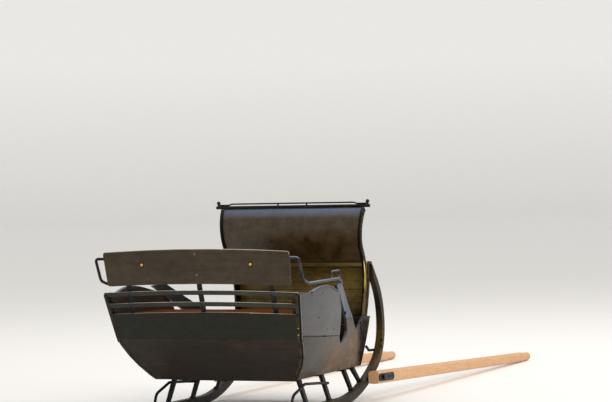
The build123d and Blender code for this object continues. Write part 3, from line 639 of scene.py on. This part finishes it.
finishes = (
    # piece, its paint or its material, bevel in mm
    ("transom_upper", "stern", 3.0),
    ("transom_lower", "stern_low", 1.5),
    ("stern_rail_lower", "stern_rail", 5.0),
    ("stern_rail_upper", "stern_rail", 5.0),
    ("backrest", "backrest", 4.0),
    ("side_upper", "side", 1.5),
    ("side_lower", "side_low", 1.5),
    ("side_stay", "stay", 1.5),
    ("corner_post", "post", 1.5),
    ("dash_boards", "dash", 1.0),
    ("dash_ledge", "ledge", 1.5),
    ("dash_rib", "rib", 4.0),
    ("runner_shoe", shoe_steel, 0.8),
    ("runner", "runner", 3.0),
    ("seat_board", varnished, 1.5),
    ("seat_panel", varnished, 1.0),
    ("floor_boards", varnished_long, 1.0),
    ("dash_sheet", dash_lacquer, 1.0),
    ("arm_rail_left", black_iron, 0),
    ("arm_rail", rail_iron, 0),
    ("shaft_pin", black_iron, 1.0),
    ("shaft_iron", black_iron, 1.0),
    ("shaft", shaft_pine, 0),
    ("back_straps", black_iron, 1.0),
    ("dash_rod", black_iron, 0),
    ("rein_rail", black_iron, 0),
    ("leg_hoop", black_iron, 1.5),
    ("rear_brace", black_iron, 0),
    ("horn_brace", black_iron, 0),
)
for name, node in nodes.items():
    # A piece has its own row, or shares one with its twins, whose names differ in the last word
    _, finish, bevel_mm = next(row for row in finishes if row[0] in (name, name.rsplit("_", 1)[0]))
    if isinstance(finish, str):
        faces_in, edges_in = paint[finish + "_paint"], paint[finish + "_worn_edge"]
    else:
        faces_in, edges_in = finish, finish
    node.data.materials.clear()
    node.data.materials.append(faces_in)
    node.data.materials.append(edges_in)
    weld = node.modifiers.new("weld", "WELD")
    weld.merge_threshold = (BACKREST_WELD_MM if name == "backrest" else WELD_MM) * MM
    if bevel_mm:
        bevel = node.modifiers.new("bevel", "BEVEL")
        bevel.width = bevel_mm * MM
        bevel.segments = BEVEL_SEGMENTS
        bevel.limit_method = "ANGLE"
        bevel.angle_limit = SHARP_ANGLE
        bevel.material = 1
        bevel.use_clamp_overlap = False
print("dressed", len(nodes), "pieces")

# %% [markdown]
# What follows is put on the finished body by the smith and the painter: nails, bolts, beads and
# corner straps. Each one must sit on the real surface of the plank behind it. A straight line is
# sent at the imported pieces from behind, from one side or from above, and where it first meets them
# the piece is seated, turned square to the surface. So nothing floats, and nothing has to be
# measured twice.

# %% Find the surface of a piece
# Each side of the sleigh is the sign of its X and its name
SIDES = ((1, "right"), (-1, "left"))
# The lines start clear of the sleigh: out to one side, behind the stern and over the dash
OUTSIDE_X, BEHIND_Y, ABOVE_Z = 0.9, -3, 1.2

search_trees = {}


def packed(name):
    """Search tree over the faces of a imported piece, made once."""
    if name not in search_trees:
        data = nodes[name].data
        places = [vertex.co for vertex in data.vertices]
        search_trees[name] = BVHTree.FromPolygons(places, [face.vertices for face in data.polygons])
    return search_trees[name]


def surface(names, start, way):
    """First point that a straight line meets on the named pieces, and the surface's direction there."""
    hits = [packed(name).ray_cast(Vector(start), Vector(way)) for name in names]
    hits = [hit for hit in hits if hit[0] is not None]
    if not hits:
        return None
    point, normal, _, _ = min(hits, key=lambda hit: hit[3])
    return point, normal if normal.dot(Vector(way)) < 0 else -normal


def from_behind(names, x, z):
    """Where a level line that comes from behind the stern meets the named pieces."""
    return surface(names, (x, BEHIND_Y, z), (0, 1, 0))


def from_outside(names, side, y, z):
    """Where a level line that comes in from one side meets the named pieces."""
    return surface(names, (side * OUTSIDE_X, y, z), (-side, 0, 0))


def from_above(names, x, y):
    """Where a plumb line meets the named pieces."""
    return surface(names, (x, y, ABOVE_Z), (0, 0, -1))


print("board behind the middle of the backrest:", from_behind(["backrest"], 0, 0.72))

# %% [markdown]
# A bolt head, a nail head and a nut are all turned shapes: a short profile spun round the line
# square to the surface. A nut only has six sides. Each group of heads is one mesh, so it can be
# picked and repainted as a set. Where a line has met nothing, no head is made.

# %% Make heads from a profile
HEX = 6


def object_from(name, made, *materials):
    """Blender object from built faces, with its finishes in order."""
    mesh = bpy.data.meshes.new(name)
    made.to_mesh(mesh)
    made.free()
    for material in materials:
        mesh.materials.append(material)
    piece = bpy.data.objects.new(name, mesh)
    bpy.context.scene.collection.objects.link(piece)
    return piece


def heads(name, spots, profile, sides, finish, body="sleigh"):
    """Turned heads on a list of spots: profile is radius and height in mm, from the surface out."""
    made = bmesh.new()
    for point, normal in [spot for spot in spots if spot]:
        turn = normal.to_track_quat("Z", "Y").to_matrix()
        rings = []
        for radius, height in profile:
            flat_ring = circle(radius * MM, sides if radius else 1)
            rings.append([made.verts.new(point + turn @ Vector((x, y, height * MM))) for x, y in flat_ring])
        made.faces.new(rings[0][::-1])
        for lower, upper in zip(rings, rings[1:]):
            for i in range(sides):
                j = (i + 1) % sides
                face = [lower[i], lower[j]] + (upper if len(upper) == 1 else [upper[j], upper[i]])
                made.faces.new(face).smooth = sides > HEX
    piece = object_from(name, made, finish)
    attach(piece, body)


# Each profile: radius and height in mm, from just under the surface to the middle of the head
DOME = ((8.5, -0.5), (8.5, 1.0), (7.6, 3.0), (5.4, 4.7), (2.6, 5.6), (0, 5.8))
WASHER = ((13.0, -0.5), (13.0, 0.6), (12.2, 1.0), (0, 1.0))
SCREW = ((5.0, -0.5), (5.0, 0.6), (3.8, 1.6), (1.8, 2.1), (0, 2.2))
NAIL = ((3.6, -0.5), (3.6, 0.5), (2.4, 1.2), (0, 1.5))
NUT = ((9.0, -0.5), (9.0, 5.0), (8.0, 6.2), (0, 6.2))
print("dome", 2 * DOME[0][0], "mm, nail", 2 * NAIL[0][0], "mm")

# %% [markdown]
# The backrest hangs on two coach bolts with domed brass heads, one on the left and one on the
# right. A black iron washer lies under each head and sets the bright dome off from the board; its
# dark ring also stands for painted shade round the head. Two small steel screws hold the board to
# the middle strap.

# %% Bolts and screws of the backrest
BOLT_FROM_MIDDLE_MM = 281
BOLT_Z = 0.746
SCREWS_Z = (0.697, 0.796)

bolt_spots = [from_behind(["backrest"], side * BOLT_FROM_MIDDLE_MM * MM, BOLT_Z) for side in (-1, 1)]
heads("backrest_washers", bolt_spots, WASHER, 24, black_iron)
heads("backrest_bolts", bolt_spots, DOME, 24, brass)
screw_spots = [from_behind(["backrest"], 0, z) for z in SCREWS_Z]
heads("backrest_screws", screw_spots, SCREW, 16, shoe_steel)
print(len(bolt_spots), "bolts and", len(screw_spots), "screws")

# %% [markdown]
# Both stern corners are closed by a strap of thin iron, folded round the plank ends and nailed. It
# is laid out here as three columns of points: one on the stern, one on the very corner and one
# along the side, each found on the surface, then thickened to sheet. The flange on the stern is
# rubbed to brown metal with ochre chips, while the one on the side still has its flat black. The
# nails are black, apart from two bright brass tacks on the right corner.

# %% Corner straps
STRAP_T_MM = 2.0
STRAP_ON_STERN_MM = 14
STRAP_ON_SIDE_MM = 17
STRAP_HEIGHTS_MM = (178, 200, 250, 300, 350, 384, 388, 430, 470, 504, 546, 601)
STRAP_NAILS_MM = (200, 300, 504, 601)
STRAP_TACKS_MM = (410, 441)
STERN_PIECES = ["transom_lower", "transom_upper", "stern_rail_lower", "stern_rail_upper"]
# A line at the first X meets the stern above FOOT_TOP_Z, and one at the second its narrower foot
INSIDE_CORNER_X, INSIDE_FOOT_X, FOOT_TOP_Z = 0.4, 0.33, 0.25
CORNER_DEPTH_MM = 6

corner_pieces = {side: [f"side_upper_{end}", f"side_lower_{end}"] + STERN_PIECES for side, end in SIDES}


def corner_at(side, z):
    """Points of the stern's corner at one height: on the stern, on the corner, along the side."""
    inside_x = INSIDE_CORNER_X if z > FOOT_TOP_Z else INSIDE_FOOT_X
    on_stern = from_behind(STERN_PIECES, side * inside_x, z)[0]
    corner = from_outside(corner_pieces[side], side, on_stern.y + CORNER_DEPTH_MM * MM, z)[0]
    inner = from_behind(STERN_PIECES, corner.x - side * STRAP_ON_STERN_MM * MM, z)[0]
    on_side = from_outside(corner_pieces[side], side, inner.y + STRAP_ON_SIDE_MM * MM, z)[0]
    return inner, Vector((corner.x, inner.y, z)), on_side


strap_nails, strap_tacks = [], []
for side, end in SIDES:
    rows = [corner_at(side, z_mm * MM) for z_mm in STRAP_HEIGHTS_MM]
    made = bmesh.new()
    grid = [[made.verts.new(point) for point in row] for row in rows]
    for low, high in zip(grid, grid[1:]):
        for i in range(2):
            quad = [low[i], low[i + 1], high[i + 1], high[i]]
            made.faces.new(quad if side > 0 else quad[::-1]).material_index = i
    strap = object_from(f"corner_strap_{end}", made, strap_rubbed, strap_black)
    sheet = strap.modifiers.new("sheet", "SOLIDIFY")
    sheet.thickness = STRAP_T_MM * MM
    sheet.offset = 1
    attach(strap, "sleigh")
    tacks = strap_tacks if side > 0 else strap_nails
    for heights_mm, spots in ((STRAP_NAILS_MM, strap_nails), (STRAP_TACKS_MM, tacks)):
        for z_mm in heights_mm:
            x = corner_at(side, z_mm * MM)[1].x - side * 0.5 * STRAP_ON_STERN_MM * MM
            point, normal = from_behind(STERN_PIECES, x, z_mm * MM)
            spots.append((point + normal * STRAP_T_MM * MM, normal))
heads("corner_strap_nails", strap_nails, NAIL, 12, strap_black)
heads("corner_strap_tacks", strap_tacks, NAIL, 12, brass)
print("corner at", [round(v, 3) for v in rows[0][1]], "to", [round(v, 3) for v in rows[-1][1]])

# %% [markdown]
# Paint hides most of the nails. The few that show hold the end of the seat, the crown and the seam
# between the two side boards, and a row of them follows each rib of the dash. Larger nuts close
# the bolts of the stay, the entry corner, the horn and the knuckle of the stern.

# %% Nails and nuts of the sides
# Each place is a station in mm and a height in metres
NAIL_PLACES = ((285, 0.477), (292, 0.593), (427, 0.414), (546, 0.406))
NUT_PLACES = ((776, 0.470), (1153, 0.396), (1165, 0.369))
HORN_NUT_PLACES = ((1383, 0.294), (1374, 0.262))
KNUCKLE_NUT_PLACES = ((101, 0.378),)
RIB_NAILS_Z = (0.930, 0.897, 0.872, 0.820, 0.742, 0.660, 0.580, 0.500)
RIB_NAIL_AHEAD_MM = 14
# The ribs stand closer together at their feet, so a line that misses is sent again nearer the middle
RIB_X, RIB_FOOT_X = 0.39, 0.375

side_faces = {end: [f"side_upper_{end}", f"side_lower_{end}", f"side_stay_{end}"] for _, end in SIDES}
nail_spots, nut_spots, rib_spots = [], [], []
for side, end in SIDES:
    for pieces, places, spots in (
            (side_faces[end], NAIL_PLACES, nail_spots),
            (side_faces[end], NUT_PLACES, nut_spots),
            ([f"runner_{end}"], HORN_NUT_PLACES, nut_spots),
            (["transom_lower"], KNUCKLE_NUT_PLACES, nut_spots)):
        spots += [from_outside(pieces, side, station(mm), z) for mm, z in places]
    rib = [f"dash_rib_{end}"]
    for z in RIB_NAILS_Z:
        rear = from_behind(rib, side * RIB_X, z) or from_behind(rib, side * RIB_FOOT_X, z)
        if rear:
            rib_spots.append(from_outside(rib, side, rear[0].y + RIB_NAIL_AHEAD_MM * MM, z))
heads("side_nails", nail_spots, NAIL, 12, strap_black)
heads("side_nuts", nut_spots, NUT, HEX, black_iron)
heads("rib_nails", rib_spots, NAIL, 12, shoe_steel)
print(len(nail_spots), "nails,", len(nut_spots), "nuts,", len(rib_spots), "rib nails")

# %% [markdown]
# A half round iron bead runs over the crowned top of each side, where hands would wear the plank.
# It is made as a round bar let half into the outer face, which follows the crown better than a
# bent strip would, and its iron carries the painted pale blue sky reflection of the arm rail. A
# thinner wooden bead closes the rear edge of the side boards beside the corner strap. Its pale grey
# paint is partly rubbed and partly a painted highlight along that edge, and draws a light line
# between the dark stern and the side.

# %% Beads of each side
BEAD_R_MM = 4.5
BEAD_STATIONS_MM = range(146, 531, 16)
BEAD_SIDES = 12
# The board is first met from the side at this height, and then from above so far inside its face
BELOW_CROWN_Z = 0.56
CROWN_INSET_MM = 3
EDGE_BEAD_R_MM = 4.0
EDGE_BEAD_HEIGHTS_MM = (300, 350, 384, 430, 470, 504, 546, 601)
# How deep each bead's middle lies under the surface, as a share of its radius
BEAD_SUNK, EDGE_BEAD_SUNK = 0.6, 0.2


def tube(name, points, radius_mm, sides, finish):
    """Round bar through a list of points, its ends closed."""
    made = bmesh.new()
    rings = []
    for i, point in enumerate(points):
        previous, following = points[max(i - 1, 0)], points[min(i + 1, len(points) - 1)]
        turn = (following - previous).to_track_quat("Z", "Y").to_matrix()
        rings.append([made.verts.new(point + turn @ Vector((x, y, 0)))
                      for x, y in circle(radius_mm * MM, sides)])
    made.faces.new(rings[0][::-1])
    made.faces.new(rings[-1])
    for lower, upper in zip(rings, rings[1:]):
        for k in range(sides):
            after = (k + 1) % sides
            made.faces.new((lower[k], lower[after], upper[after], upper[k])).smooth = True
    piece = object_from(name, made, finish)
    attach(piece, "sleigh")


# Grey oil paint, pale in part from rubbing and in part as a painted highlight, the lightest line of
# the side
pale_bead = oil_painted_plank("pale_highlight_bead_paint", "Z", "#6d6c68", "#93918b", 0.2, 0.45, DUSTY, 0.1,
                              BLUE_SKY_SHEEN)
for side, end in SIDES:
    board = [f"side_upper_{end}"]
    crown_line = []
    for mm in BEAD_STATIONS_MM:
        wall = from_outside(board, side, station(mm), BELOW_CROWN_Z)[0]
        top = from_above(board, wall.x - side * CROWN_INSET_MM * MM, station(mm))[0]
        outer = from_outside(board, side, station(mm), top.z - BEAD_R_MM * MM)[0]
        crown_line.append(Vector((outer.x, outer.y, top.z - BEAD_SUNK * BEAD_R_MM * MM)))
    tube(f"crown_bead_{end}", crown_line, BEAD_R_MM, BEAD_SIDES, rail_iron)
    rear_line = []
    for z_mm in EDGE_BEAD_HEIGHTS_MM:
        bead_y = corner_at(side, z_mm * MM)[2].y + EDGE_BEAD_R_MM * MM
        met = from_outside(corner_pieces[side], side, bead_y, z_mm * MM)[0]
        rear_line.append(Vector((met.x - side * EDGE_BEAD_SUNK * EDGE_BEAD_R_MM * MM, bead_y, z_mm * MM)))
    tube(f"rear_edge_bead_{end}", rear_line, EDGE_BEAD_R_MM, BEAD_SIDES, pale_bead)
print("beads through", len(crown_line), "and", len(rear_line), "points")

# %% [markdown]
# Dirt and old paint fill the seam between the two boards of each side and make it a thin dark
# line, and a short stretch of it has opened to a black gap. Both are thin black tubes, let more
# than half into the boards. The black of the gap's tube is painted shade for the dark inside the
# opening. A dark tube shows as a line from any side and needs no cut in a board.

# %% Seams of the sides
SEAM_REAR_Z, SEAM_FALL = 0.405, 0.0596
SEAM_SIDES = 8
# The middle of a seam lies this share of its radius under the face, measured just over the seam
SEAM_SUNK = 0.6
SEAM_FACE_ABOVE_MM = 3
seams = (
    # name, stations in mm, radius in mm
    ("side_seam", range(100, 661, 40), 1.3),
    ("seam_gap", (372, 384, 396, 408, 418), 3.2),
)


def seam_z(mm):
    """Height of the seam between the side boards at a station."""
    return SEAM_REAR_Z - SEAM_FALL * mm * MM


for side, end in SIDES:
    for name, stations_mm, radius_mm in seams:
        line = []
        for mm in stations_mm:
            met = from_outside(side_faces[end], side, station(mm), seam_z(mm) + SEAM_FACE_ABOVE_MM * MM)[0]
            line.append(Vector((met.x - side * SEAM_SUNK * radius_mm * MM, met.y, seam_z(mm))))
        tube(f"{name}_{end}", line, radius_mm, SEAM_SIDES, strap_black)
print("the seam falls from", round(seam_z(100), 3), "to", round(seam_z(660), 3))

# %% [markdown]
# A sheet's cut edge is sharp and weak, so a smith rolls it. The upper edge of the dash sheet is
# rolled into a bead that lies under the rod. The bead is a tube that reaches from the top of the
# sheet up to the underside of the rod, and a little into each.

# %% Rolled edge of the dash
ROLL_OVERLAP_MM = 1.5
ROLL_SIDES = 16
ROD_STATION_MM, ROD_Z_MM, ROD_R_MM = 1170.87, 991.09, 8
SHEET_END_BELOW_MM = 2

sheet_top = from_above(["dash_sheet"], 0, station(ROD_STATION_MM))[0]
sheet_end = from_outside(["dash_sheet"], 1, sheet_top.y, sheet_top.z - SHEET_END_BELOW_MM * MM)[0].x
rod_low = (ROD_Z_MM - ROD_R_MM) * MM
roll_r = (rod_low - sheet_top.z) / 2 / MM + ROLL_OVERLAP_MM
roll_z = (rod_low + sheet_top.z) / 2
roll_line = [Vector((x, sheet_top.y, roll_z)) for x in (-sheet_end, 0, sheet_end)]
tube("dash_rolled_edge", roll_line, roll_r, ROLL_SIDES, dash_lacquer)
print("rolled edge", round(2 * roll_r, 1), "mm thick, sheet top at", round(sheet_top.z, 4))

# %% [markdown]
# The joints between the boards of the dash are stopped with linseed putty and painted over, so no
# light comes through. Each strip of putty sits a little below the face, and leaves the thin dark
# line that shows where two boards meet.

# %% Putty in the joints of the dash
JOINTS_MM = (290, 380, 508, 559, 672)
PUTTY_SUNK_MM = 3
PUTTY_DEEP_MM = 9
PUTTY_HALF_MM = 1.0
# Where the board above a joint is measured: so far over the joint, and its ends so far from its face
MEASURE_ABOVE_MM, MEASURE_DEPTH_MM = 4, 6
BOX_FACES = ((0, 1, 3, 2), (4, 6, 7, 5), (0, 4, 5, 1), (2, 3, 7, 6), (0, 2, 6, 4), (1, 5, 7, 3))

# Putty under brown black paint: matt and darker than the boards, so the joint stays a dark line
putty = oil_painted_plank("painted_putty", "X", "#1c160b", "#2a2212", 0.0, 0.6, DUSTY, 0.1, BLUE_SKY_SHEEN)
made = bmesh.new()
for joint_mm in JOINTS_MM:
    z = joint_mm * MM
    board_z = z + MEASURE_ABOVE_MM * MM
    face_y = from_behind(["dash_boards"], 0, board_z)[0].y
    end_y = face_y + MEASURE_DEPTH_MM * MM
    left, right = [from_outside(["dash_boards"], side, end_y, board_z)[0].x for side in (-1, 1)]
    near, far = face_y + PUTTY_SUNK_MM * MM, face_y + PUTTY_DEEP_MM * MM
    strip = [made.verts.new((x, y, z + up_or_down * PUTTY_HALF_MM * MM))
             for x in (left + MM, right - MM) for y in (near, far) for up_or_down in (-1, 1)]
    for face in BOX_FACES:
        made.faces.new([strip[i] for i in face])
joints = object_from("dash_joint_putty", made, putty)
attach(joints, "sleigh")
print(len(JOINTS_MM), "joints stopped")

# %% [markdown]
# The smith riveted the iron cheeks to the butt of each shaft, through both faces. The rivets ride
# with their shaft, so they turn with it when it is raised.

# %% Rivets of the shafts
# The parked shafts dip by this angle towards their tips
SHAFT_DIP = 2.068 * pi / 180
PIN_STATION_MM, PIN_Z_MM = 1215, 116
RIVETS_AHEAD_MM = (85, 140)
BETWEEN_SHAFTS_X = 0.2
RIVET = ((5.5, -0.5), (5.5, 0.8), (4.2, 2.4), (2.0, 3.2), (0, 3.4))

for side, end in SIDES:
    rivets = []
    for ahead_mm in RIVETS_AHEAD_MM:
        z = (PIN_Z_MM - ahead_mm * sin(SHAFT_DIP)) * MM
        for start_x, way_x in ((OUTSIDE_X, -side), (BETWEEN_SHAFTS_X, side)):
            start = (side * start_x, station(PIN_STATION_MM + ahead_mm), z)
            rivets.append(surface([f"shaft_iron_{end}"], start, (way_x, 0, 0)))
    heads(f"shaft_rivets_{end}", rivets, RIVET, 16, black_iron, body=f"shaft_{end}")
print(len(rivets), "rivets a shaft")

# %% [markdown]
# The foot of each rear brace stands in a small forged collar on the runner. The straps behind the
# stern's rails are bolted through every rail, and the low round heads show on the stern.

# %% Collars of the braces and bolts of the straps
COLLAR = ((14, -1.0), (14, 3.0), (12, 4.5), (0, 4.5))
COLLAR_X, COLLAR_STATION_MM = 0.360, 232
STRAP_BOLTS_X = (-0.37, 0, 0.37)
STRAP_BOLTS_Z = (0.470, 0.546, 0.601)

collars = [from_above([f"runner_{end}"], side * COLLAR_X, station(COLLAR_STATION_MM)) for side, end in SIDES]
heads("brace_collars", collars, COLLAR, 24, black_iron)
strap_bolts = [from_behind(STERN_PIECES, x, z) for x in STRAP_BOLTS_X for z in STRAP_BOLTS_Z]
heads("strap_bolts", strap_bolts, SCREW, 16, black_iron)
print(len(collars), "collars and", len(strap_bolts), "strap bolts")
